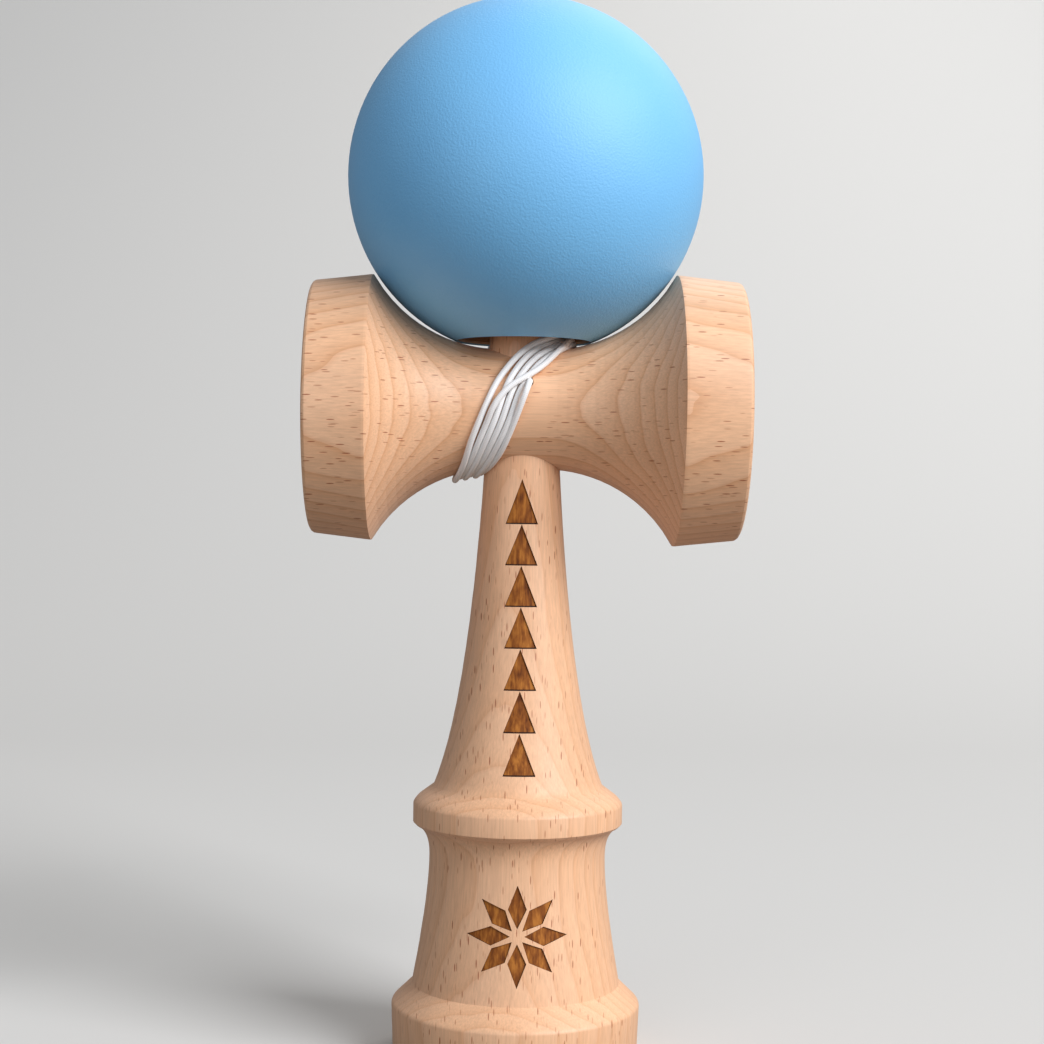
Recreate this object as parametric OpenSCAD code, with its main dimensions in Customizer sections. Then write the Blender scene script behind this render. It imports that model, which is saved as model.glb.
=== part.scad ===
// Kendama: a turned handle with a spike and a base cup, a cross piece with a big and a small cup,
// and a drilled ball that sits on the spike. One string ties the ball to the handle and is wound
// round the waist of the cross piece. Millimetres, Z up, origin under the middle of the base rim,
// front towards -Y, big cup towards +X.

/* [Ball] */
// Diameter of the ball
ball_d = 60; // [56:0.5:66]
// Diameter of the spike hole
hole_d = 21.8; // [20:0.2:24]
// Width of the bevel round the hole's mouth
hole_bevel = 0.6; // [0.3:0.1:1]
// Depth of the spike hole from its mouth
hole_depth = 43.4; // [41:0.2:46]
// Radius of the corner at the end of the hole
hole_end_r = 5; // [2:0.5:7]
// Diameter of the string channel at the top
channel_d = 2.6; // [2:0.1:3.4]
// Diameter of the channel's flared mouth
flare_d = 6.4; // [5:0.2:9]
// Depth of the flared mouth
flare_depth = 3; // [1.5:0.25:5]
// Gap between the hole's mouth and the cross piece that carries the ball
ball_seat_gap = 0.3; // [0.2:0.05:0.6]

/* [Cross piece] */
// Height of the cross piece's axis above the base rim
axis_height = 110; // [106:1:118]
// Diameter of the waist
waist_d = 20.4; // [19:0.2:22]
// Length of the straight middle of the waist
waist_flat = 8; // [6:0.5:12]
// Radius of the hollow sweep from the waist to each cup
waist_sweep_r = 25; // [23:0.5:30]
// Largest diameter of the big cup, at its inner corner
big_cup_d = 46.1; // [44:0.2:48]
// Outside diameter of the big cup at its rim
big_rim_d = 44.1; // [43:0.1:46]
// Distance from the handle's axis to the big cup's rim
big_reach = 36.8; // [34:0.2:40]
// Diameter of the big cup's mouth
big_mouth_d = 40; // [38:0.2:41]
// Depth of the big cup
big_depth = 10.5; // [9:0.25:12]
// Largest diameter of the small cup, at its inner corner
small_cup_d = 45.1; // [43:0.2:47]
// Outside diameter of the small cup at its rim
small_rim_d = 43.1; // [42:0.1:45]
// Distance from the handle's axis to the small cup's rim
small_reach = 35.8; // [33:0.2:39]
// Diameter of the small cup's mouth
small_mouth_d = 38; // [36:0.2:39.6]
// Depth of the small cup
small_depth = 9.2; // [8:0.2:11]
// Radius of the rounded rims of all three cups
rim_r = 1.1; // [0.5:0.1:1.4]
// Softening of the other turned edges
edge_r = 0.4; // [0.2:0.1:0.6]

/* [Handle] */
// Diameter of the base cup's band at its top edge
base_d = 42.3; // [41:0.1:45]
// Outside diameter of the base cup at its rim
base_rim_d = 41.7; // [40.4:0.1:44]
// Height of the base cup's band
base_band_h = 9; // [7:0.25:11]
// Diameter of the base cup's mouth
base_mouth_d = 36.6; // [34:0.2:38]
// Depth of the base cup
base_depth = 8; // [6:0.25:9]
// Height of the sloping shoulder on the base cup
base_shoulder_h = 3.3; // [2.5:0.1:5]
// Diameter of the grip where it meets the base cup
grip_foot_d = 35.4; // [33:0.2:38]
// Smallest diameter of the grip
grip_waist_d = 30; // [28:0.2:32]
// Height of the grip's smallest diameter
grip_waist_z = 33.6; // [30:0.2:35]
// Height over which the grip straightens up below its smallest diameter
grip_straight_h = 6.6; // [4:0.2:9]
// Height of the flare from the grip out to the middle rim
grip_flare_h = 1.1; // [0.6:0.1:2]
// Diameter of the middle rim
mid_rim_d = 35.7; // [34:0.1:38]
// Height of the middle rim's lower edge
mid_rim_z = 39.3; // [38:0.1:41]
// Height of the middle rim's band
mid_rim_h = 3.8; // [3:0.1:5]
// Rounding of the middle rim's upper edge
mid_round = 0.9; // [0.5:0.1:1.2]
// Height of the sloping shoulder on the middle rim
mid_shoulder_h = 2.8; // [2:0.1:4]
// Diameter of the neck where it leaves the middle rim
neck_foot_d = 28.8; // [26:0.2:31]
// Diameter towards which the neck's sweep is pulled
neck_pull_d = 17.6; // [16:0.2:20]
// Height at which the neck's sweep is pulled
neck_pull_z = 60; // [56:0.5:66]
// Diameter of the tapered seat at the cross piece's underside
seat_low_d = 12.9; // [12.4:0.1:13.4]
// Diameter of the tapered seat at the cross piece's top
seat_top_d = 11.8; // [11.2:0.1:12.2]
// Radial clearance of the cross piece on the tapered seat
seat_clearance = 0.05; // [0.02:0.01:0.1]
// Height of the spike's tip above the cross piece's axis
spike_reach = 43.5; // [40:0.25:45]
// Diameter of the spike where its rounded tip begins
spike_tip_d = 6.4; // [5:0.2:8]
// Length of the rounded tip
spike_tip_h = 2.8; // [2:0.1:4]

/* [String] */
// Diameter of the string
string_d = 0.9; // [0.8:0.05:1]
// Diameter of the string's holes in the handle and the cross piece
string_hole_d = 2.2; // [1.8:0.1:2.6]
// Height of the string's holes above the cross piece's axis
string_rise = 4.2; // [3.6:0.1:4.4]
// Distance of the string's holes from the middle, towards the big cup
string_aside = 0.5; // [0:0.1:1]
// Distance between neighbouring laps of the winding
lap_pitch = 1.46; // [1.44:0.01:1.6]
// Gap between the winding and the waist
lap_seat = 0.32; // [0.2:0.02:0.4]
// Diameter of the knot in the handle
anchor_d = 3.2; // [2.6:0.1:3.6]
// Room round the knot in its pocket
anchor_room = 0.5; // [0.3:0.1:0.7]
// Distance of the pocket's floor behind the handle's axis
pocket_y = 2.5; // [2.2:0.1:2.8]
// Diameter of the knot under the bead
knot_d = 3; // [2.4:0.1:3.6]
// Diameter of both knots at their ends
knot_end_d = 2.2; // [1.8:0.1:2.4]
// Diameter of the bead
bead_d = 7; // [6:0.25:9]
// Diameter of the bead's flat ends
bead_end_d = 4.2; // [3:0.1:5]
// Height of the bead
bead_h = 6; // [5:0.25:6.5]
// Diameter of the bead's bore
bead_bore_d = 1.8; // [1.6:0.1:2.4]
// Gap between the bead and the end of the ball's hole
bead_gap = 0.3; // [0.2:0.05:0.6]

/* [Hidden] */
$fn = 128;
curve_steps = 10;
edge_steps = 4;
past = 1;

beech = "#E5BE9B";
sky_blue = "#6DB0E3";
nylon = "#EDEDF1";
bead_wood = "#D9B38C";

waist_r = waist_d / 2;
ball_r = ball_d / 2;
mouth_r = hole_d / 2 + hole_bevel;

// Radius of the cross piece's waist at a distance along its axis
function waist_at(x) =
    let(out = max(0, abs(x) - waist_flat / 2))
    waist_r + waist_sweep_r - sqrt(max(0, waist_sweep_r * waist_sweep_r - out * out));
// Distance along the axis at which the sweep reaches a cup's inner corner
function corner_at(r) =
    waist_flat / 2 + sqrt(waist_sweep_r * waist_sweep_r - pow(waist_sweep_r + waist_r - r, 2));
// Radius of the sphere that hollows a cup of given mouth radius and depth
function dish_r(mouth, depth) = (mouth * mouth + depth * depth) / (2 * depth);
// Radius of the handle's tapered seat at a height
function seat_at(z) =
    let(t = (z - axis_height + waist_r) / waist_d)
    seat_low_d / 2 + (seat_top_d - seat_low_d) / 2 * t;
// Points of a curve from a to c that is pulled towards b
function sweep(a, b, c, n = curve_steps) =
    [for (i = [0:n]) let(t = i / n) a * (1 - t) * (1 - t) + b * 2 * t * (1 - t) + c * t * t];
// The same with two pulls, for a string that leaves one direction and joins another
function bend(a, b, c, d, n) =
    [for (i = [0:n]) let(t = i / n, s = 1 - t)
        a * s * s * s + b * 3 * s * s * t + c * 3 * s * t * t + d * t * t * t];
// Rises from 0 to 1 between two values, without corners
function ramp(from, to, v) =
    let(t = min(1, max(0, (v - from) / (to - from))))
    t * t * (3 - 2 * t);
function unit(v) = v / norm(v);

ball_seat_z = axis_height + waist_at(mouth_r) + ball_seat_gap;
ball_z = ball_seat_z + sqrt(ball_r * ball_r - mouth_r * mouth_r);
hole_end_z = ball_seat_z + hole_depth;
bead_foot_z = hole_end_z - bead_gap - bead_h;
spike_tip_z = axis_height + spike_reach;
string_z = axis_height + string_rise;
string_r = string_d / 2;
// The string in the handle meets the winding just outside the tapered seat
tail_past = 0.02;
meet_y = -seat_at(string_z) - tail_past;

// The free string, from the waist straight to the ball and over its back into the channel.
// Heights here count from the cross piece's axis.
run_route = [
    [-11.3, 9.9, -6.8], [-9.5, 13.3, -0.7], [-7.7, 16.6, 5.4], [-5.9, 20, 11.5], [-4.1, 23.4, 17.6],
    [-2.3, 26.7, 23.7], [-2.1, 29.3, 30], [-2.1, 30.8, 37], [-2.1, 30.5, 44], [-2, 28.6, 51],
    [-1.8, 25, 57.5], [-1.5, 19.8, 63], [-1, 13.6, 67.1], [-0.5, 8, 69.3], [-0.2, 4, 70.2],
    [0, 1.3, 69.6], [0, 0.2, 68], [0, 0, 66.5], [0, 0, 65]
];
run_path = [for (p = run_route) p + [0, 0, axis_height]];
run_start = run_path[0];
run_end = run_path[len(run_path) - 1];
run_sides = 8;

// Full laps of the winding, with the rings of each and the sides of the string there
laps = 5;
lap_rings = 24;
lap_sides = 6;
// Where the middle of the bundle crosses the waist, by angle from the front downwards
lap_way = [[-60, 6.1], [-30, -5.7], [0, -5.1], [60, -9.3], [90, -11], [120, -9.2], [180, -1.8], [240, 5.8],
           [270, 7.3], [300, 6.1], [330, -5.7], [360, -5.1], [420, -9.3]];
// Half the angle over which the bundle's corners are rounded off, and the points that round it
lap_round = 12;
round_steps = 4;
slope_step = 3;
// Lap from which the string lies in a second layer over the top of the waist, its rise there, and
// the lanes by which it goes back over the first layer
upper_from = 3;
upper_rise = 1.5 * string_d;
upper_lanes = 2;
// Angles from the front downwards at which that layer climbs, moves over, moves back and comes down
climb = [160, 198];
over = [190, 235];
back_over = [310, 356];
descend = [350, 388];
// Angle at which the string from the front hole joins the laps, and at which it leaves them
join_angle = 22;
leave_angle = 114;
// Lengths over which the string turns out of the hole and away from the laps
hole_past = 0.4;
join_pull = 4.2;
leave_pull = 1.5;
join_steps = 8;
leave_steps = 3;

// The middle of the bundle at an angle, with its corners rounded
function lap_mid(angle) =
    let(near = [for (i = [-round_steps:round_steps]) lookup(angle + lap_round * i / round_steps, lap_way)])
    near * [for (v = near) 1] / len(near);
// Slope of the bundle, as millimetres along the axis for each millimetre round the waist
function lap_slope(angle) =
    (lap_mid(angle + slope_step) - lap_mid(angle - slope_step)) / (2 * slope_step * waist_r * PI / 180);
// A point of the winding at a count of laps from the front: neighbouring laps keep lap_pitch between
// them, square to the string
function lap_point(count) =
    let(lap = floor(count), angle = (count - lap) * 360,
        early = lap >= upper_from && lap < laps,
        late = lap > upper_from && lap <= laps && angle + 360 < descend[1],
        past_top = late ? angle + 360 : angle,
        upper = early || late ? 1 : 0,
        lift = upper * (late ? 1 : ramp(climb[0], climb[1], angle))
             * (1 - ramp(descend[0], descend[1], past_top)),
        move = upper * (late ? 1 : ramp(over[0], over[1], angle))
             * (1 - ramp(back_over[0], back_over[1], past_top)),
        aside = (laps / 2 - count + upper_lanes * move) * lap_pitch,
        slope = lap_slope(angle), square = sqrt(1 + slope * slope),
        x = lap_mid(angle) + aside / square,
        turn = angle - aside * slope / square / waist_r * 180 / PI,
        rho = waist_at(x) + string_r + lap_seat + upper_rise * lift)
    [x, -rho * cos(turn), axis_height - rho * sin(turn)];

join_count = join_angle / 360;
leave_count = laps + leave_angle / 360;
join_at = lap_point(join_count);
leave_at = lap_point(leave_count);
join_dir = unit(lap_point(join_count + 1 / lap_rings) - join_at);
leave_dir = unit(leave_at - lap_point(leave_count - 1 / lap_rings));
run_dir = unit(run_path[1] - run_start);
hole_out = [string_aside, -waist_r * cos(asin(string_rise / waist_r)) - hole_past, string_z];
winding_path = concat(
    [[string_aside, meet_y, string_z]],
    bend(hole_out, hole_out - [0, join_pull, 0], join_at - join_dir * join_pull, join_at, join_steps),
    [for (i = [1:(leave_count - join_count) * lap_rings]) lap_point(join_count + i / lap_rings)],
    bend(leave_at, leave_at + leave_dir * leave_pull,
         run_start - run_dir * (string_d + leave_pull), run_start - run_dir * string_d, leave_steps),
    [run_start]);

// Route points with one smooth point between each two
function smooth_route(route) =
    let(n = len(route))
    [for (i = [0:n - 1]) each
        i == n - 1 ? [route[i]] :
        i == 0 || i == n - 2 ? [route[i], (route[i] + route[i + 1]) / 2] :
        [route[i], (9 * (route[i] + route[i + 1]) - route[i - 1] - route[i + 2]) / 16]];

// Least clear distance of a wound tube to itself, between points at least half a lap apart
function least_gap(path, d) =
    let(steps = 4, apart = steps * lap_rings / 2,
        fine = [for (i = [0:len(path) - 2]) for (k = [0:steps - 1])
            path[i] + (path[i + 1] - path[i]) * k / steps])
    min([for (i = [0:len(fine) - 1]) for (j = [i + apart:1:len(fine) - 1]) norm(fine[i] - fine[j])]) - d;

// A round tube along a path, its sides squared up by one direction that the path never takes
module tube(path, d, sides, ref) {
    n = len(path);
    rings = [for (i = [0:n - 1])
        let(t = unit(path[min(i + 1, n - 1)] - path[max(i - 1, 0)]),
            a = unit(ref - t * (ref * t)), b = cross(t, a))
        for (k = [0:sides - 1])
            path[i] + (a * cos(k * 360 / sides) + b * sin(k * 360 / sides)) * d / 2];
    walls = [for (i = [0:n - 2]) for (k = [0:sides - 1])
        let(p = i * sides + k, q = i * sides + (k + 1) % sides)
        each [[p, p + sides, q], [q, p + sides, q + sides]]];
    ends = [for (k = [1:sides - 2]) each
        [[0, k, k + 1], [(n - 1) * sides, (n - 1) * sides + k + 1, (n - 1) * sides + k]]];
    polyhedron(rings, concat(walls, ends));
}

// A short round barrel with flat ends, along Z
module barrel(d, h, end_d) {
    rotate_extrude()
        polygon(concat([[0, 0]], sweep([end_d / 2, 0], [d - end_d / 2, h / 2], [end_d / 2, h]), [[0, h]]));
}

// Turned in one piece: base cup, grip, middle rim, neck, tapered seat and spike
module handle() {
    base_r = base_d / 2;
    base_rim = base_rim_d / 2;
    grip_r = grip_waist_d / 2;
    mid_r = mid_rim_d / 2;
    mid_top = mid_rim_z + mid_rim_h;
    tip_r = spike_tip_d / 2;
    base_sphere = dish_r(base_mouth_d / 2, base_depth);
    outline = concat(
        [[0, 0]],
        sweep([base_rim - rim_r, 0], [base_rim, 0], [base_rim, rim_r], edge_steps),
        sweep([base_r, base_band_h - edge_r], [base_r, base_band_h],
              [base_r - edge_r, base_band_h + edge_r], edge_steps),
        sweep([grip_foot_d / 2, base_band_h + base_shoulder_h], [grip_r, grip_waist_z - grip_straight_h],
              [grip_r, grip_waist_z]),
        sweep([grip_r, grip_waist_z + edge_r], [grip_r, mid_rim_z - grip_flare_h],
              [mid_r - edge_r, mid_rim_z]),
        [[mid_r, mid_rim_z + edge_r]],
        sweep([mid_r, mid_top - edge_r], [mid_r, mid_top],
              [mid_r - mid_round, mid_top + mid_round], edge_steps),
        sweep([neck_foot_d / 2, mid_top + mid_shoulder_h], [neck_pull_d / 2, neck_pull_z],
              [seat_low_d / 2, axis_height - waist_r], 2 * curve_steps),
        [[seat_top_d / 2, axis_height + waist_r]],
        sweep([tip_r, spike_tip_z - spike_tip_h], [tip_r, spike_tip_z], [0, spike_tip_z]));
    color(beech)
    difference() {
        rotate_extrude() polygon(outline);
        translate([0, 0, base_depth - base_sphere]) sphere(base_sphere);
        translate([string_aside, 0, string_z]) rotate([90, 0, 0])
            cylinder(h = seat_low_d + past, d = string_hole_d, center = true);
        translate([string_aside, pocket_y, string_z]) rotate([-90, 0, 0])
            cylinder(h = seat_low_d, d = anchor_d + 2 * anchor_room);
    }
}

// Half of the cross piece's outline: distance from its axis, and distance along it
function cup_outline(cup_d, rim_d, reach) =
    let(corner = corner_at(cup_d / 2), rim = rim_d / 2, flat = waist_flat / 2, steps = 14)
    concat(
        [for (i = [0:steps]) let(x = flat + (corner - flat) * i / steps) [waist_at(x), x]],
        [[cup_d / 2, corner + edge_r]],
        sweep([rim, reach - rim_r], [rim, reach], [rim - rim_r, reach], edge_steps));

module cross_cups() {
    big = cup_outline(big_cup_d, big_rim_d, big_reach);
    small = cup_outline(small_cup_d, small_rim_d, small_reach);
    small_back = [for (i = [len(small) - 1:-1:0]) [small[i].x, -small[i].y]];
    big_sphere = dish_r(big_mouth_d / 2, big_depth);
    small_sphere = dish_r(small_mouth_d / 2, small_depth);
    bore_z = waist_r + past;
    color(beech)
    translate([0, 0, axis_height])
    difference() {
        rotate([0, 90, 0]) rotate_extrude()
            polygon(concat([[0, -small_reach]], small_back, big, [[0, big_reach]]));
        translate([big_reach - big_depth + big_sphere, 0, 0]) sphere(big_sphere);
        translate([-small_reach + small_depth - small_sphere, 0, 0]) sphere(small_sphere);
        translate([0, 0, -bore_z])
            cylinder(h = 2 * bore_z, r1 = seat_at(axis_height - bore_z) + seat_clearance,
                     r2 = seat_at(axis_height + bore_z) + seat_clearance);
        translate([string_aside, 0, string_rise]) rotate([90, 0, 0])
            cylinder(h = waist_d, d = string_hole_d);
    }
}

module ball() {
    hole = hole_d / 2;
    seat = ball_seat_z - ball_z;
    end = hole_end_z - ball_z;
    color(sky_blue)
    translate([0, 0, ball_z])
    rotate_extrude()
    difference() {
        intersection() {
            circle(ball_r);
            translate([0, -ball_d]) square([ball_d, 2 * ball_d]);
        }
        polygon(concat(
            [[0, -ball_d], [mouth_r + past, seat - past], [hole, seat + hole_bevel]],
            sweep([hole, end - hole_end_r], [hole, end], [hole - hole_end_r, end]),
            [[channel_d / 2, end], [channel_d / 2, ball_r - flare_depth], [flare_d / 2, ball_r],
             [flare_d / 2, ball_d], [0, ball_d]]));
    }
}

// The string through the handle, from its knot to the front hole
module string_tail() {
    color(nylon)
    translate([string_aside, meet_y, string_z]) rotate([-90, 0, 0])
        cylinder(h = pocket_y - meet_y, d = string_d);
}

module anchor_knot() {
    color(nylon)
    translate([string_aside, pocket_y, string_z]) rotate([-90, 0, 0])
        barrel(anchor_d, anchor_d, knot_end_d);
}

module string_winding() {
    color(nylon) tube(winding_path, string_d, lap_sides, [1, 0, 0]);
}

module string_run() {
    color(nylon) tube(smooth_route(run_path), string_d, run_sides, [1, 0, 0]);
}

// The string through the ball's channel and the bead
module string_core() {
    color(nylon)
    translate([0, 0, bead_foot_z])
        cylinder(h = run_end.z - bead_foot_z, d = string_d);
}

module bead() {
    color(bead_wood)
    translate([0, 0, bead_foot_z])
    difference() {
        barrel(bead_d, bead_h, bead_end_d);
        translate([0, 0, -past]) cylinder(h = bead_h + 2 * past, d = bead_bore_d);
    }
}

module bead_knot() {
    color(nylon)
    translate([0, 0, bead_foot_z - knot_d])
        barrel(knot_d, knot_d, knot_end_d);
}

echo(winding_gap = least_gap(winding_path, string_d), winding_rings = len(winding_path));

handle();
cross_cups();
ball();
string_tail();
string_winding();
string_run();
string_core();
bead();
bead_knot();
anchor_knot();
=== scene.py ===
# A kendama in turned beech with a sky-blue ball, its string wound round the cross piece.
# Everything is in metres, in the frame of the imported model: Z up, front towards -Y.
import math

import bmesh
import bpy
from mathutils import Matrix, Vector


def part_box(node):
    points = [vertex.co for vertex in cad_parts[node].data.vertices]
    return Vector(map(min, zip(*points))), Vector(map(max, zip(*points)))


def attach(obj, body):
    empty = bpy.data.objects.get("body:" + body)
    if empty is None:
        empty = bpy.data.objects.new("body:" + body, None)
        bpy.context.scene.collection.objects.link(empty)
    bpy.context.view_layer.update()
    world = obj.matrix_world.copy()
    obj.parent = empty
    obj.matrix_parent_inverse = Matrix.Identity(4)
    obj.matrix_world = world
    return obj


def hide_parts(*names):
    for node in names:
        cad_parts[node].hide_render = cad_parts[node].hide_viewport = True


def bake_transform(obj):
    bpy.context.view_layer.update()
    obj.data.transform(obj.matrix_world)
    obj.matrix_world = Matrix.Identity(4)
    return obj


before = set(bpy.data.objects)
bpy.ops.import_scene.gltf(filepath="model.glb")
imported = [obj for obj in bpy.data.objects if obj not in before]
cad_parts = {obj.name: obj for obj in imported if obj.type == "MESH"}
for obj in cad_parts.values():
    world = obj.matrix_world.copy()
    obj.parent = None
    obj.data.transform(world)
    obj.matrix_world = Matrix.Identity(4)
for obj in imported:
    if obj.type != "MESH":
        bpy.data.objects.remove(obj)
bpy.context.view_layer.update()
scene = bpy.context.scene
scene.view_settings.view_transform = "Standard"

# Camera: a short portrait lens a third of a metre away, level with the cross piece and turned a
# little to the right. It leans by the small angle that the photograph was taken at.
IMAGE_SIZE = 1044
FOCAL_PX = 1882
SENSOR = 36.0
EYE = Vector((-0.0036, -0.3215, 0.0946))
PITCH, YAW, ROLL = -0.68, 0.66, 0.75
lens = bpy.data.cameras.new("camera")
lens.sensor_width = SENSOR
lens.lens = FOCAL_PX / IMAGE_SIZE * SENSOR
lens.clip_start = 0.01
camera = bpy.data.objects.new("camera", lens)
camera.matrix_world = (
    Matrix.Translation(EYE)
    @ Matrix.Rotation(math.radians(-YAW), 4, "Z")
    @ Matrix.Rotation(math.radians(90 + PITCH), 4, "X")
    @ Matrix.Rotation(math.radians(ROLL), 4, "Z")
)
scene.collection.objects.link(camera)
scene.camera = camera


# Floor and backdrop: one pale paper sweep that runs flat under the toy and curves up behind it.
# The floor keeps the toy's shadow.
def linear(hex_colour):
    """An sRGB hex colour as linear RGBA."""
    parts = [int(hex_colour[i:i + 2], 16) / 255 for i in (1, 3, 5)]
    return [c / 12.92 if c <= 0.04045 else ((c + 0.055) / 1.055) ** 2.4 for c in parts] + [1.0]


def add_node(material, kind, settings=None, **sockets):
    """Adds one shader node. Settings are its properties. A socket is given by name or as i0, i1 and so
    on by its place, and takes a value or the output that feeds it."""
    made = material.node_tree.nodes.new(kind)
    for name, value in (settings or {}).items():
        setattr(made, name, value)
    for name, value in sockets.items():
        place = int(name[1:]) if name[0] == "i" and name[1:].isdigit() else name.replace("_", " ")
        if isinstance(value, bpy.types.NodeSocket):
            material.node_tree.links.new(value, made.inputs[place])
        else:
            made.inputs[place].default_value = value
    return made


def new_material(name):
    """An empty node material and its surface shader."""
    made = bpy.data.materials.new(name)
    made.use_nodes = True
    return made, made.node_tree.nodes["Principled BSDF"]


def new_piece(name, mesh, *materials):
    """An object for a finished mesh, at the origin, with its materials."""
    made = bpy.data.objects.new(name, mesh)
    scene.collection.objects.link(made)
    for material in materials:
        mesh.materials.append(material)
    return made


def smooth_mesh(shape, name, sharp_degrees):
    """Turns a bmesh into a mesh that is shaded smooth, apart from its sharp edges."""
    for face in shape.faces:
        face.smooth = True
    for edge in shape.edges:
        edge.smooth = len(edge.link_faces) == 2 and edge.calc_face_angle() < math.radians(sharp_degrees)
    mesh = bpy.data.meshes.new(name)
    shape.to_mesh(mesh)
    shape.free()
    return mesh


SWEEP_HALF_WIDTH = 0.95
SWEEP_FRONT = -0.95
SWEEP_BACK = 1.6
SWEEP_RISE = 3.0
SWEEP_ROUND = 1.2
FOLD_STEPS = 24
# Matte paper, with no shine to speak of. The camera sees it pale, and the toy is lit by it as by a
# darker table top.
paper, paper_shader = new_material("pale_paper")
ray = add_node(paper, "ShaderNodeLightPath")
seen_paper = add_node(paper, "ShaderNodeMix", {"data_type": "RGBA"}, i0=ray.outputs["Is Camera Ray"],
                      i6=linear("#7C746C"), i7=linear("#D6D4D0"))
paper.node_tree.links.new(seen_paper.outputs[2], paper_shader.inputs["Base Color"])
paper_shader.inputs["Roughness"].default_value = 0.9
paper_shader.inputs["Specular IOR Level"].default_value = 0.1
profile = [(SWEEP_FRONT, 0)]
for i in range(FOLD_STEPS + 1):
    turn = math.radians(90 * i / FOLD_STEPS)
    profile.append((SWEEP_BACK - SWEEP_ROUND * (1 - math.sin(turn)), SWEEP_ROUND * (1 - math.cos(turn))))
profile.append((SWEEP_BACK, SWEEP_RISE))
sweep = bmesh.new()
left_edge = [sweep.verts.new((-SWEEP_HALF_WIDTH, y, z)) for y, z in profile]
right_edge = [sweep.verts.new((SWEEP_HALF_WIDTH, y, z)) for y, z in profile]
for i in range(len(profile) - 1):
    sweep.faces.new((left_edge[i], right_edge[i], right_edge[i + 1], left_edge[i + 1]))
floor = new_piece("floor", smooth_mesh(sweep, "floor", sharp_degrees=60), paper)

# Light: a large soft box high on the right as the main light, weak ones low in front and behind, and
# a pale room around. The left sides stay darker, as in the photograph.
AIM = Vector((0, 0, 0.1))
# The camera sees the room as pale as the paper, and the toy is lit by much less of it
ROOM_LIT, ROOM_SEEN = 0.28, 0.85
world = bpy.data.worlds.new("pale_room")
world.use_nodes = True
room = world.node_tree.nodes["Background"]
room.inputs["Color"].default_value = linear("#EEF1F6")
ray = add_node(world, "ShaderNodeLightPath")
room_share = add_node(world, "ShaderNodeMapRange", Value=ray.outputs["Is Camera Ray"], To_Min=ROOM_LIT,
                      To_Max=ROOM_SEEN)
world.node_tree.links.new(room_share.outputs[0], room.inputs["Strength"])
scene.world = world
for name, place, size, watts, tint in (
        ("soft_box_right", (1.45, -1.2, 1.3), 1.3, 60.0, (0.98, 1.0, 1.04)),
        ("soft_box_front", (-0.7, -1.6, 0.3), 1.2, 7.0, (0.9, 1.0, 1.14)),
        ("soft_box_back", (0.5, 1.0, 1.3), 1.0, 8.0, (1.0, 1.0, 1.0))):
    lamp = bpy.data.lights.new(name, "AREA")
    lamp.energy = watts
    lamp.size = size
    lamp.color = tint
    holder = bpy.data.objects.new(name, lamp)
    holder.location = place
    holder.rotation_euler = (AIM - holder.location).to_track_quat("-Z", "Y").to_euler()
    scene.collection.objects.link(holder)

# String: one white braided polyester string. It comes out of the small hole in the front of the
# waist, is wound round it in slanting laps, and runs up the back of the ball into the hole at its top.
MM = 0.001
STRING_D = 1.04 * MM
# The waist lies along X at the axis's height, and flares in a round from a short straight stretch
AXIS_Z = 110 * MM
WAIST_R = 10.2 * MM
WAIST_FLAT = 8 * MM
WAIST_SWEEP_R = 25 * MM
HOLE_X = 0.5 * MM
HOLE_RISE = 4.2 * MM
# The laps are counted from the front downwards, and all angles are degrees round the waist from there
LAPS = 5
LAP_STEPS = 72
LAP_PITCH = 1.05 * MM
LAP_SEAT = 0.02 * MM
JOIN_ANGLE, LEAVE_ANGLE = 22, 114
TOP_FROM = 150
CORNER_ROUND, CORNER_STEPS = 8, 4
SLOPE_STEP = 3
# Where the middle of the bundle crosses the waist, in mm
LAP_WAY = (
    (-100, 7.2), (-90, 6.9), (-75, 5.6), (-68, 4.3), (-60, 3), (-47, 0.9), (-29, -1.4), (-15, -2.75),
    (-1, -3.5), (14, -4.3), (30, -5.4), (46, -6.5), (65, -7.8), (75, -8.5), (90, -9.1), (105, -9.1),
    (120, -8.4), (180, -1.8), (240, 5), (260, 7.2), (270, 6.9), (285, 5.6), (292, 4.3), (300, 3),
    (313, 0.9), (331, -1.4), (345, -2.75), (359, -3.5), (374, -4.3))
# How tightly the laps are squeezed beside the neck: every other one is lifted there
SQUEEZE_WAY = ((0, 0), (40, 0), (75, 1), (110, 1), (150, 0), (360, 0))
SQUEEZE_PITCH, SQUEEZE_LIFT = 0.18, 0.35
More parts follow.
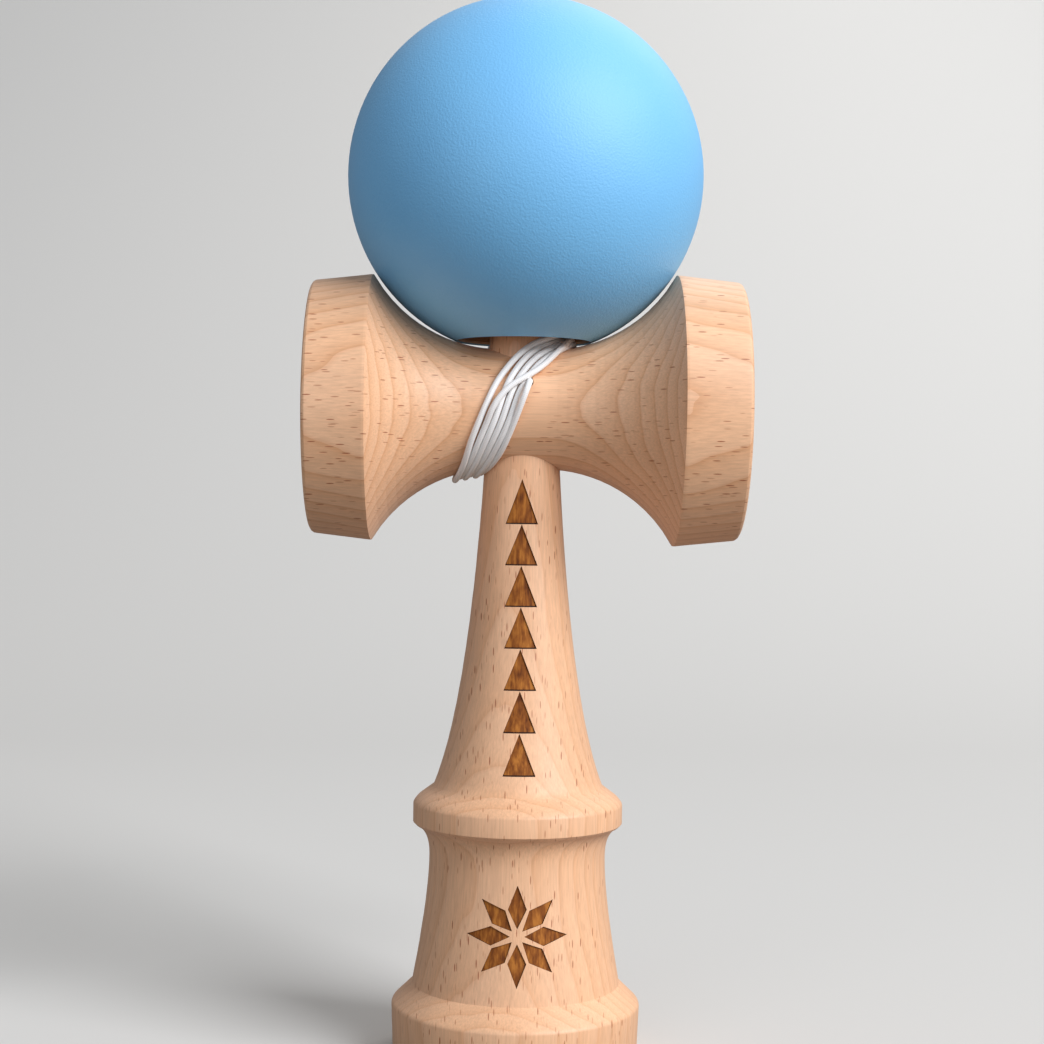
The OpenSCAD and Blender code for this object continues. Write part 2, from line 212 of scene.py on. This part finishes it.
# How each lap leaves its lane where it comes over the top to the front: lanes to the right, and string
# diameters up. The last but one crosses over the others, and the last rides on them.
TOP_WAYS = (
    ((0, 0, 0), (360, 0, 0)),
    ((235, 0, 0), (262, -0.2, 0), (303, -0.1, 0), (325, 0.15, 0), (345, 0.32, 0), (360, 0.32, 0),
     (375, 0.16, 0), (392, 0, 0)),
    ((235, 0, 0), (262, -0.15, 0.3), (285, -0.15, 0.4), (303, -0.3, 0.2), (325, 0, 0), (345, 0.22, 0),
     (360, 0.22, 0), (375, 0.12, 0), (392, 0, 0)),
    ((160, 0, 0), (235, 0.3, 0.5), (285, 0.2, 1), (303, -0.4, 0.6), (325, -0.15, 0.1), (345, 0.12, 0),
     (360, 0.12, 0), (392, 0, 0)),
    ((150, 0, 0), (185, 0, 1.1), (245, 2.4, 1.4), (270, 2.5, 1), (285, 3, 0.6), (299, 3.7, 0.3),
     (314, 3.9, 0.2), (327, 3.4, 0.8), (344, 1.6, 1), (362, 0.1, 0.9), (380, 0, 0)),
    ((150, 0, 0), (185, 0, 1.1), (245, 2.5, 1.9), (275, 2.5, 2), (292, 2.45, 2), (297, 1.8, 2),
     (302, 1, 1.4), (315, 0.75, 0.8), (335, 0.55, 0.1), (350, 0.3, 0), (370, -0.15, 0), (392, -0.25, 0),
     (419, 0, 0)))
# The free stretch, in mm from the waist's axis: up to the ball, over its back and down into the hole
RUN_ROUTE = (
    (-11.3, 9.9, -6.8), (-9.5, 13.3, -0.7), (-7.7, 16.6, 5.4), (-5.9, 20, 11.5), (-4.4, 23.4, 17.6),
    (-3.2, 26.6, 23.7), (-2.5, 29.2, 30), (-2.2, 30.8, 37), (-2.1, 30.5, 44), (-2, 28.6, 51),
    (-1.8, 25, 57.5), (-1.5, 19.8, 63), (-1, 13.6, 67.1), (-0.5, 8, 69.3), (-0.2, 4, 70.2),
    (0, 1.3, 69.6), (0, 0.2, 68), (0, 0, 66.5), (0, 0, 65))


def waist_at(x):
    """Radius of the cross piece's waist at a distance along its axis."""
    out = max(0, abs(x) - WAIST_FLAT / 2)
    return WAIST_R + WAIST_SWEEP_R - math.sqrt(max(0, WAIST_SWEEP_R ** 2 - out ** 2))


def along(way, angle, column=1):
    """A column of a table at an angle, with its corners rounded."""
    total = 0
    for i in range(-CORNER_STEPS, CORNER_STEPS + 1):
        at = min(way[-1][0], max(way[0][0], angle + CORNER_ROUND * i / CORNER_STEPS))
        for before, after in zip(way, way[1:]):
            if before[0] <= at <= after[0]:
                share = (at - before[0]) / (after[0] - before[0])
                total += before[column] + (after[column] - before[column]) * share
                break
    return total / (2 * CORNER_STEPS + 1)


def lap_point(count):
    """A point of the winding at a count of laps: neighbours keep their pitch square to the string."""
    lap, angle = math.floor(count), (count - math.floor(count)) * 360
    top_way = TOP_WAYS[lap + 1 if angle > TOP_FROM else lap]
    past = angle if angle > TOP_FROM else angle + 360
    squeeze = along(SQUEEZE_WAY, angle)
    aside = (LAPS / 2 - count + along(top_way, past, 1)) * LAP_PITCH * (1 - SQUEEZE_PITCH * squeeze)
    drift = along(LAP_WAY, angle + SLOPE_STEP) - along(LAP_WAY, angle - SLOPE_STEP)
    slope = drift * MM / (2 * math.radians(SLOPE_STEP) * WAIST_R)
    square = math.sqrt(1 + slope * slope)
    x = along(LAP_WAY, angle) * MM + aside / square
    turn = math.radians(angle) - aside * slope / square / WAIST_R
    lift = along(top_way, past, 2) + SQUEEZE_LIFT * squeeze * (lap % 2)
    rho = waist_at(x) + STRING_D / 2 + LAP_SEAT + STRING_D * lift
    return Vector((x, -rho * math.cos(turn), AXIS_Z - rho * math.sin(turn)))


def bend(a, b, c, d, steps):
    """A curve from a to d that leaves towards b and arrives from c."""
    return [a * (1 - t) ** 3 + b * 3 * t * (1 - t) ** 2 + c * 3 * t * t * (1 - t) + d * t ** 3
            for t in (i / steps for i in range(steps + 1))]


def smooth_path(points, steps):
    """A smooth curve through given points."""
    ends = [points[0] * 2 - points[1]] + list(points) + [points[-1] * 2 - points[-2]]
    path = []
    for p, q, r, s in zip(ends, ends[1:], ends[2:], ends[3:]):
        path += bend(q, q + (r - p) / 6, r - (s - q) / 6, r, steps)[:-1]
    return path + [points[-1]]


def string_mesh(name, path, sides=12):
    """A round tube along a path, with a UV map in millimetres along it and turns around it. The tube's
    length comes with it."""
    shape = bmesh.new()
    uv_map = shape.loops.layers.uv.new("along_string")
    side = Vector((1, 0, 0))
    rings, lengths, length = [], [], 0
    for i, point in enumerate(path):
        way = (path[min(i + 1, len(path) - 1)] - path[max(i - 1, 0)]).normalized()
        side = (side - way * side.dot(way)).normalized()
        turn = Matrix((side, way.cross(side), way)).transposed().to_4x4()
        ring = bmesh.ops.create_circle(shape, segments=sides, radius=STRING_D / 2,
                                       matrix=Matrix.Translation(point) @ turn, cap_ends=False)["verts"]
        length += (point - path[i - 1]).length if i else 0
        rings.append(ring)
        lengths.append(length / MM)
    for i in range(len(rings) - 1):
        for k in range(sides):
            n = (k + 1) % sides
            face = shape.faces.new((rings[i][k], rings[i][n], rings[i + 1][n], rings[i + 1][k]))
            for loop, (u, v) in zip(face.loops, ((k, i), (k + 1, i), (k + 1, i + 1), (k, i + 1))):
                loop[uv_map].uv = (u / sides, lengths[v])
    shape.faces.new(list(reversed(rings[0])))
    shape.faces.new(rings[-1])
    bmesh.ops.recalc_face_normals(shape, faces=shape.faces)
    return smooth_mesh(shape, name, sharp_degrees=60), length


# Braided polyester: bright white with a soft, dull shine. Its yarns cross round the string in two sets
# of four, 2.4 mm to a full twist, and show as small ridges. The slightly greyer white between them is
# painted shade in the grooves.
YARNS = 4
YARN_TWIST_MM = 2.4
polyester, shader = new_material("braided_polyester")
where = add_node(polyester, "ShaderNodeUVMap", {"uv_map": "along_string"})
split = add_node(polyester, "ShaderNodeSeparateXYZ", Vector=where.outputs["UV"])
waves = []
for hand in (1, -1):
    lead = add_node(polyester, "ShaderNodeMath", {"operation": "MULTIPLY"}, i0=split.outputs["Y"],
                    i1=hand * YARNS / YARN_TWIST_MM)
    turns = add_node(polyester, "ShaderNodeMath", {"operation": "MULTIPLY_ADD"}, i0=split.outputs["X"],
                     i1=YARNS, i2=lead.outputs[0])
    phase = add_node(polyester, "ShaderNodeMath", {"operation": "MULTIPLY"}, i0=turns.outputs[0],
                     i1=math.tau)
    wave = add_node(polyester, "ShaderNodeMath", {"operation": "SINE"}, i0=phase.outputs[0])
    waves.append(wave.outputs[0])
yarn = add_node(polyester, "ShaderNodeMath", {"operation": "MULTIPLY"}, i0=waves[0], i1=waves[1])
yarn_share = add_node(polyester, "ShaderNodeMapRange", Value=yarn.outputs[0], From_Min=-1.0, From_Max=1.0)
# The greyer white in the grooves between the yarns is painted shade
yarn_and_groove_shade_colour = add_node(polyester, "ShaderNodeMix", {"data_type": "RGBA"}, i0=yarn_share.outputs[0],
                       i6=linear("#EAE8E6"), i7=linear("#F9F7F5"))
yarn_bump = add_node(polyester, "ShaderNodeBump", Strength=0.35, Distance=0.06 * MM, Height=yarn.outputs[0])
polyester.node_tree.links.new(yarn_and_groove_shade_colour.outputs[2], shader.inputs["Base Color"])
polyester.node_tree.links.new(yarn_bump.outputs[0], shader.inputs["Normal"])
shader.inputs["Roughness"].default_value = 0.6
shader.inputs["Specular IOR Level"].default_value = 0.35
shader.inputs["Subsurface Weight"].default_value = 0.15
shader.inputs["Subsurface Radius"].default_value = (0.6 * MM, 0.6 * MM, 0.6 * MM)

# The string bends from its hole into the first lap, and from the last lap towards the ball. A pull is
# how far it keeps straight on at the ends of a bend.
HOLE_ASIDE, HOLE_UP, HOLE_PAST = 0.5 * MM, 0.05 * MM, 0.4 * MM
TAIL_MEETS = -7 * MM
JOIN_PULL, LEAVE_PULL = 4.2 * MM, 1.5 * MM
LAP_NUDGE = 0.01
HOLE_STEPS, JOIN_STEPS, LEAVE_STEPS, RUN_STEPS = 6, 16, 8, 6
hole_in = Vector((HOLE_X, TAIL_MEETS, AXIS_Z + HOLE_RISE))
hole_out = Vector((HOLE_X + HOLE_ASIDE, -math.sqrt(WAIST_R ** 2 - HOLE_RISE ** 2) - HOLE_PAST,
                   AXIS_Z + HOLE_RISE + HOLE_UP))
run_points = [Vector(p) * MM + Vector((0, 0, AXIS_Z)) for p in RUN_ROUTE]
join, leave = JOIN_ANGLE / 360, LAPS + LEAVE_ANGLE / 360
join_at, leave_at = lap_point(join), lap_point(leave)
join_way = (lap_point(join + LAP_NUDGE) - join_at).normalized()
leave_way = (leave_at - lap_point(leave - LAP_NUDGE)).normalized()
run_way = (run_points[1] - run_points[0]).normalized()
lap_count = int((leave - join) * LAP_STEPS)
string_path = [hole_in + (hole_out - hole_in) * i / HOLE_STEPS for i in range(HOLE_STEPS)]
string_path += bend(hole_out, hole_out - Vector((0, JOIN_PULL, 0)), join_at - join_way * JOIN_PULL,
                    join_at, JOIN_STEPS)
string_path += [lap_point(join + (leave - join) * i / lap_count) for i in range(1, lap_count)]
string_path += bend(leave_at, leave_at + leave_way * LEAVE_PULL, run_points[0] - run_way * LEAVE_PULL,
                    run_points[0], LEAVE_STEPS)[:-1]
string_path += smooth_path(run_points, RUN_STEPS)
wound_mesh, wound_length = string_mesh("wound_string", string_path)
wound_string = new_piece("wound_string", wound_mesh, polyester)
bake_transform(wound_string)
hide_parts("string_winding", "string_run")

# String ends: the same string goes on through the handle to its knot, and through the ball's top
# and the bead to the knot below it.
TAIL_STEPS, CORE_STEPS = 95, 12
# The tail runs straight from the knot in the handle's pocket into the string's hole in the waist
pocket_low, pocket_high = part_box("anchor_knot")
knot_at = (pocket_low + pocket_high) / 2
tail_path = [knot_at + (hole_in - knot_at) * i / TAIL_STEPS for i in range(TAIL_STEPS + 1)]
tail = new_piece("string_in_handle", string_mesh("string_in_handle", tail_path)[0], polyester)
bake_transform(tail)
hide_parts("string_tail")
core_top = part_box("string_core")[1].z
core_end = sum(corner.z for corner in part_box("bead_knot")) / 2
core_path = [Vector((0, 0, core_top + (core_end - core_top) * i / CORE_STEPS))
             for i in range(CORE_STEPS + 1)]
core = new_piece("string_in_ball", string_mesh("string_in_ball", core_path)[0], polyester)
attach(core, "string_end")
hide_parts("string_core")

# Knots: the string is tied off with a tight overhand knot in the handle's pocket, and with another
# under the bead. Each is the string itself, drawn up small.
KNOT_STEPS = 72
KNOT_REACH, KNOT_DEPTH = 3, 1.4


def knot_mesh(name, middle, axis, size):
    """A tight overhand knot: three crossing loops of string about an axis."""
    turn = axis.to_track_quat("Z", "Y").to_matrix()
    unit = (size - STRING_D) / (2 * KNOT_REACH)
    path = []
    for i in range(KNOT_STEPS + 1):
        t = math.tau * i / KNOT_STEPS
        loop = Vector((math.sin(t) + 2 * math.sin(2 * t), math.cos(t) - 2 * math.cos(2 * t),
                       -KNOT_DEPTH * math.sin(3 * t)))
        path.append(middle + turn @ loop * unit)
    return string_mesh(name, path)[0]


for name, node_name, body, axis in (
        ("knot_in_handle", "anchor_knot", "ken", Vector((0, 1, 0))),
        ("knot_under_bead", "bead_knot", "string_end", Vector((0, 0, 1)))):
    low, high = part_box(node_name)
    knot = new_piece(name, knot_mesh(name, (low + high) / 2, axis, (high - low).x), polyester)
    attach(knot, body)
    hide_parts(node_name)

# Handle: one piece of beech, turned with the grain along it, sanded and given a thin satin lacquer.
# The ornaments on its front are burnt in, a quarter of a millimetre deep, with scorched edges. The
# triangles are also darkened along their lower edges with char and painted shade.
GRAIN_ALONG_Z = (0, 0, 0)
BURN_DEPTH = 0.25 * MM
FLOOR_SLOT, WALL_SLOT = 1, 2
WELD, CUT_SNAP = 0.5e-6, 1e-7
SORT_WAY = Vector((0.31, 0.017, 1))


def grain_and_fibres(material, grain_turn):
    """The place on a piece in mm, with its grain turned onto Z, and the noise of its fibres. Real fibres
    are too fine to show, so these are drawn 0.3 mm wide and 6 mm long."""
    place = add_node(material, "ShaderNodeTexCoord")
    grain = add_node(material, "ShaderNodeMapping", Vector=place.outputs["Object"], Rotation=grain_turn,
                     Scale=(1 / MM, 1 / MM, 1 / MM))
    thin = add_node(material, "ShaderNodeMapping", Vector=grain.outputs[0], Scale=(1 / 0.3, 1 / 0.3, 1 / 6))
    fibre = add_node(material, "ShaderNodeTexNoise", Vector=thin.outputs[0], Scale=1.0, Detail=3.0,
                     Roughness=0.6)
    return grain.outputs[0], fibre.outputs[0]


def finish_wood(material, shader, colour, height, roughness, specular, sheen):
    """Gives wood its colour, the fine relief of its fibres and its gloss."""
    relief = add_node(material, "ShaderNodeBump", Strength=0.25, Distance=0.05 * MM, Height=height)
    material.node_tree.links.new(colour, shader.inputs["Base Color"])
    material.node_tree.links.new(relief.outputs[0], shader.inputs["Normal"])
    shader.inputs["Roughness"].default_value = roughness
    shader.inputs["Specular IOR Level"].default_value = specular
    shader.inputs["Sheen Weight"].default_value = sheen
    shader.inputs["Sheen Roughness"].default_value = 0.6


def beech(name, grain_turn, heart, ring_strength):
    """Sanded and lacquered beech: a pale pinkish brown with growth rings about the tree's heart, given
    in mm, and the short dark flecks that mark this wood. The fibres catch the light at a flat angle."""
    made, shader = new_material(name)
    grain, fibre = grain_and_fibres(made, grain_turn)
    # Cloudy shade: 9 mm wide and 30 mm long
    wide = add_node(made, "ShaderNodeMapping", Vector=grain, Scale=(1 / 9, 1 / 9, 1 / 30))
    cloud = add_node(made, "ShaderNodeTexNoise", Vector=wide.outputs[0], Scale=1.0, Detail=2.0)
    # Growth rings: 2.1 mm apart, each ending in a thin darker line, and pushed about by the clouds
    warp = add_node(made, "ShaderNodeVectorMath", {"operation": "MULTIPLY_ADD"},
                    i0=cloud.outputs["Color"], i1=(2.2, 2.2, 0), i2=grain)
    from_heart = add_node(made, "ShaderNodeVectorMath", {"operation": "SUBTRACT"}, i0=warp.outputs[0],
                          i1=(heart[0], heart[1], 0))
    across = add_node(made, "ShaderNodeVectorMath", {"operation": "MULTIPLY"}, i0=from_heart.outputs[0],
                      i1=(1, 1, 0))
    radius = add_node(made, "ShaderNodeVectorMath", {"operation": "LENGTH"}, i0=across.outputs[0])
    count = add_node(made, "ShaderNodeMath", {"operation": "DIVIDE"}, i0=radius.outputs["Value"], i1=2.1)
    season = add_node(made, "ShaderNodeMath", {"operation": "FRACT"}, i0=count.outputs[0])
    ring = add_node(made, "ShaderNodeValToRGB", Fac=season.outputs[0])
    for element, at, tint in zip(ring.color_ramp.elements, (0, 1), ("#E4AD83", "#D49665")):
        element.position = at
        element.color = linear(tint)
    for at, tint in ((0.1, "#EFBD94"), (0.6, "#EBB68B"), (0.88, "#E3AB7E")):
        ring.color_ramp.elements.new(at).color = linear(tint)
    ringed = add_node(made, "ShaderNodeMix", {"data_type": "RGBA"}, i0=ring_strength,
                      i6=linear("#EBB68B"), i7=ring.outputs[0])
    fibre_share = add_node(made, "ShaderNodeMapRange", Value=fibre, From_Min=0.3, From_Max=0.7,
                           To_Min=0.88, To_Max=1.08)
    cloud_share = add_node(made, "ShaderNodeMapRange", Value=cloud.outputs[0], From_Min=0.3, From_Max=0.7,
                           To_Min=0.95, To_Max=1.04)
    shade = add_node(made, "ShaderNodeMath", {"operation": "MULTIPLY"}, i0=fibre_share.outputs[0],
                     i1=cloud_share.outputs[0])
    plain = add_node(made, "ShaderNodeVectorMath", {"operation": "SCALE"}, i0=ringed.outputs[2],
                     Scale=shade.outputs[0])
    # Flecks: thin rays that run towards the heart, cut across as dashes of 0.17 by 1.4 mm, some of them
    # faint. They hardly show where the surface runs along them.
    cell = add_node(made, "ShaderNodeMapping", Vector=grain, Scale=(1 / 0.44, 1 / 3.4, 1 / 3.8))
    fleck = add_node(made, "ShaderNodeTexVoronoi", Vector=cell.outputs[0], Scale=1.0, Randomness=1.0)
    spindle = add_node(made, "ShaderNodeMapRange", Value=fleck.outputs["Distance"], From_Min=0.16,
                       From_Max=0.22, To_Min=1.0, To_Max=0.0)
    chance = add_node(made, "ShaderNodeSeparateColor", Color=fleck.outputs["Color"])
    surface = add_node(made, "ShaderNodeTexCoord")
    towards = add_node(made, "ShaderNodeVectorMath", {"operation": "DOT_PRODUCT"},
                       i0=surface.outputs["Normal"], i1=(0, 1, 0))
    facing = add_node(made, "ShaderNodeMath", {"operation": "ABSOLUTE"}, i0=towards.outputs["Value"])
    crossed = add_node(made, "ShaderNodeMapRange", Value=facing.outputs[0], From_Min=0.15, From_Max=0.6,
                       To_Min=0.12, To_Max=1.0)
    seen = add_node(made, "ShaderNodeMath", {"operation": "MULTIPLY"}, i0=crossed.outputs[0],
                    i1=chance.outputs[0])
    mark = add_node(made, "ShaderNodeMath", {"operation": "MULTIPLY"}, i0=spindle.outputs[0],
                    i1=seen.outputs[0])
    flecked = add_node(made, "ShaderNodeMix", {"data_type": "RGBA"}, i0=mark.outputs[0],
                       i6=plain.outputs[0], i7=linear("#9C4606"))
    dip = add_node(made, "ShaderNodeMath", {"operation": "MULTIPLY_ADD"}, i0=mark.outputs[0], i1=-0.25,
                   i2=fibre)
    finish_wood(made, shader, flecked.outputs[2], dip.outputs[0], roughness=0.55, specular=0.8, sheen=0.12)
    return made


def scorched_beech(name, tints):
    """Beech burnt by a hot stamp: dull browns from dark to light, in patches of 0.9 by 3 mm that are
    streaked by the fibres."""
    made, shader = new_material(name)
    grain, fibre = grain_and_fibres(made, GRAIN_ALONG_Z)
    patch = add_node(made, "ShaderNodeMapping", Vector=grain, Scale=(1 / 0.9, 1 / 0.9, 1 / 3))
    burn = add_node(made, "ShaderNodeTexNoise", Vector=patch.outputs[0], Scale=1.0, Detail=3.0)
    share = add_node(made, "ShaderNodeMath", {"operation": "MULTIPLY_ADD"}, i0=fibre, i1=0.6,
                     i2=burn.outputs[0])
    tone = add_node(made, "ShaderNodeValToRGB", Fac=share.outputs[0])
    dark, brown, light = tints
    for element, at, tint in zip(tone.color_ramp.elements, (0.55, 1), (dark, light)):
        element.position = at
        element.color = linear(tint)
    tone.color_ramp.elements.new(0.78).color = linear(brown)
    finish_wood(made, shader, tone.outputs[0], share.outputs[0], roughness=0.7, specular=0.25, sheen=0)
    return made


def engrave(shape, outline, char_and_shade_strip=0):
    """Burns a convex outline of (x, z) points, given anticlockwise, into the front of a turned shape.
    A strip along its lower edge can be darkened like its walls, as char and painted shade."""
    low_x, high_x = min(x for x, z in outline), max(x for x, z in outline)
    low_z, high_z = min(z for x, z in outline), max(z for x, z in outline)

    def faces_near():
        found = []
        for face in shape.faces:
            xs, ys, zs = zip(*(corner.co for corner in face.verts))
            beside = min(xs) < high_x and max(xs) > low_x
            level = min(zs) < high_z and max(zs) > low_z
            if max(ys) < 0 and beside and level:
                found.append(face)
        return found

    def cut_along(point, outwards):
        faces = faces_near()
        edges = {edge for face in faces for edge in face.edges}
        corners = {corner for face in faces for corner in face.verts}
        bmesh.ops.bisect_plane(shape, geom=faces + list(edges) + list(corners), plane_co=point,
                               plane_no=outwards, dist=CUT_SNAP)

    sides = []
    for (ax, az), (bx, bz) in zip(outline, outline[1:] + outline[:1]):
        point, outwards = Vector((ax, 0, az)), Vector((bz - az, 0, ax - bx)).normalized()
        sides.append((point, outwards))
        cut_along(point, outwards)
    # Cuts off the strip along the lower edge that is darkened with char and painted shade
    if char_and_shade_strip:
        cut_along((0, 0, low_z + char_and_shade_strip), (0, 0, 1))
    inside = [face for face in faces_near()
              if all((face.calc_center_median() - point).dot(outwards) < 0 for point, outwards in sides)]
    before = set(shape.faces)
    sunk = bmesh.ops.extrude_face_region(shape, geom=inside)["geom"]
    floors = {item for item in sunk if isinstance(item, bmesh.types.BMFace)}
    for item in sunk:
        if isinstance(item, bmesh.types.BMVert):
            item.co -= Vector((item.co.x, item.co.y, 0)).normalized() * BURN_DEPTH
    for face in floors:
        # Floor faces in the lower strip take the walls' dark colour: char and painted shade
        in_char_and_shade = face.calc_center_median().z < low_z + char_and_shade_strip
        face.material_index = WALL_SLOT if in_char_and_shade else FLOOR_SLOT
    old_faces = [face for face in inside if face.is_valid and face not in floors]
    bmesh.ops.delete(shape, geom=old_faces, context="FACES")
    for face in set(shape.faces) - before - floors:
        face.material_index = WALL_SLOT


handle_shape = bmesh.new()
handle_shape.from_mesh(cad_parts["handle"].data)
bmesh.ops.remove_doubles(handle_shape, verts=handle_shape.verts, dist=WELD)
# A column of seven triangles down the neck, each standing on the next one's tip
TRIANGLES = 7
TRIANGLE_HALF = 2.72 * MM
TRIANGLE_STEP = 6.9 * MM
FIRST_BASE_Z = 90.5 * MM
TIP_GAP = 0.03 * MM
FIRST_TALLER = 0.7 * MM
# Height of the strip along each triangle's lower edge that is darkened with char and painted shade
CHAR_AND_SHADE_STRIP = 0.22 * MM
for i in range(TRIANGLES):
    base_z = FIRST_BASE_Z - i * TRIANGLE_STEP
    tip_z = base_z + TRIANGLE_STEP - TIP_GAP + (FIRST_TALLER if i == 0 else 0)
    engrave(handle_shape, [(-TRIANGLE_HALF, base_z), (TRIANGLE_HALF, base_z), (0, tip_z)], CHAR_AND_SHADE_STRIP)
# A star of eight diamonds on the grip, each widest near its middle
DIAMONDS = 8
STAR_Z = 23.4 * MM
STAR_R = 8.2 * MM
STAR_GAP = 0.45 * MM
DIAMOND_WIDEST = 0.56
half = math.pi / DIAMONDS
near_r = STAR_GAP / math.sin(half)
side_r = STAR_R * DIAMOND_WIDEST
side_turn = half - STAR_GAP / side_r / 2
diamond = [(near_r, 0), (side_r, -side_turn), (STAR_R, 0), (side_r, side_turn)]
for i in range(DIAMONDS):
    turn = math.tau * i / DIAMONDS
    engrave(handle_shape, [(r * math.cos(turn + a), STAR_Z + r * math.sin(turn + a)) for r, a in diamond])
bmesh.ops.triangulate(handle_shape, faces=[f for f in handle_shape.faces if len(f.verts) > 4])
# The operators leave the new faces in any order, and sorting gives every run the same one
handle_shape.faces.sort(key=lambda face: face.calc_center_median().dot(SORT_WAY))
handle = new_piece("handle_turned", smooth_mesh(handle_shape, "handle_turned", sharp_degrees=35),
                   beech("beech_handle", GRAIN_ALONG_Z, heart=(18, 75), ring_strength=0.45),
                   scorched_beech("beech_scorched", ("#5E2C08", "#8C4E18", "#B4702C")),
                   # The walls are charred. The strips along the triangles' lower edges are char and painted
                   # shade.
                   scorched_beech("beech_char_and_painted_shade", ("#241005", "#321808", "#4A260E")))
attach(handle, "ken")
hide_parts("handle")

# Cross piece: beech turned with the grain along its own axis, pushed onto the handle's tapered seat.
# The growth rings draw nested arches on its hollow flanks.
GRAIN_ALONG_X = (0, math.radians(-90), 0)
cross_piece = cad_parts["cross_cups"]
cross_beech = beech("beech_cross_piece", GRAIN_ALONG_X, heart=(-108, 150), ring_strength=0.75)
cross_piece.data.materials.clear()
cross_piece.data.materials.append(cross_beech)

# Ball: a drilled beech ball dipped in a matte, slightly rubbery sky-blue paint. Inside its hole the
# wood is bare. The painted skin is a copy of the solid, larger by the paint's thickness.
CAD_BALL_R = 30 * MM
BALL_R = 30.18 * MM
BARE_BELOW = 0.35 * MM
PEEL = 0.38 * MM
PATCH = 12 * MM
ball_mid = Vector((0, 0, 149.36 * MM))
# Matte rubbery paint: wide soft highlights with no mirror in them, a very fine orange-peel skin, and a
# blue that hardly changes from patch to patch
paint, shader = new_material("matte_rubber_paint")
place = add_node(paint, "ShaderNodeTexCoord")
peel = add_node(paint, "ShaderNodeTexNoise", Vector=place.outputs["Object"], Scale=1 / PEEL, Detail=1.0,
                Roughness=0.5)
patches = add_node(paint, "ShaderNodeTexNoise", Vector=place.outputs["Object"], Scale=1 / PATCH, Detail=2.0)
blue = add_node(paint, "ShaderNodeMix", {"data_type": "RGBA"}, i0=patches.outputs[0],
                i6=linear("#6EBAEE"), i7=linear("#78C1F1"))
from_middle = add_node(paint, "ShaderNodeVectorMath", {"operation": "DISTANCE"},
                       i0=place.outputs["Object"], i1=tuple(ball_mid))
bare = add_node(paint, "ShaderNodeMath", {"operation": "LESS_THAN"}, i0=from_middle.outputs["Value"],
                i1=BALL_R - BARE_BELOW)
coat = add_node(paint, "ShaderNodeMix", {"data_type": "RGBA"}, i0=bare.outputs[0], i6=blue.outputs[2],
                i7=linear("#B98E66"))
skin = add_node(paint, "ShaderNodeBump", Strength=0.55, Distance=0.1 * MM, Height=peel.outputs[0])
paint.node_tree.links.new(coat.outputs[2], shader.inputs["Base Color"])
paint.node_tree.links.new(skin.outputs[0], shader.inputs["Normal"])
shader.inputs["Roughness"].default_value = 0.62
shader.inputs["Specular IOR Level"].default_value = 0.85
shader.inputs["Sheen Weight"].default_value = 0.1
shader.inputs["Sheen Roughness"].default_value = 0.6
ball_shape = bmesh.new()
ball_shape.from_mesh(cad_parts["ball"].data)
bmesh.ops.remove_doubles(ball_shape, verts=ball_shape.verts, dist=WELD)
paint_share = BALL_R / CAD_BALL_R
bmesh.ops.scale(ball_shape, verts=ball_shape.verts, vec=(paint_share, paint_share, paint_share),
                space=Matrix.Translation(-ball_mid))
ball = new_piece("ball_painted", smooth_mesh(ball_shape, "ball_painted", sharp_degrees=35), paint)
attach(ball, "ball")
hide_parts("ball")

# Bead: a small turned beech bead inside the ball, threaded on the string. The knot under it stops the
# string from pulling out.
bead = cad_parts["bead"]
bead.data.materials.clear()
bead.data.materials.append(beech("beech_bead", GRAIN_ALONG_Z, heart=(30, 40), ring_strength=0.5))
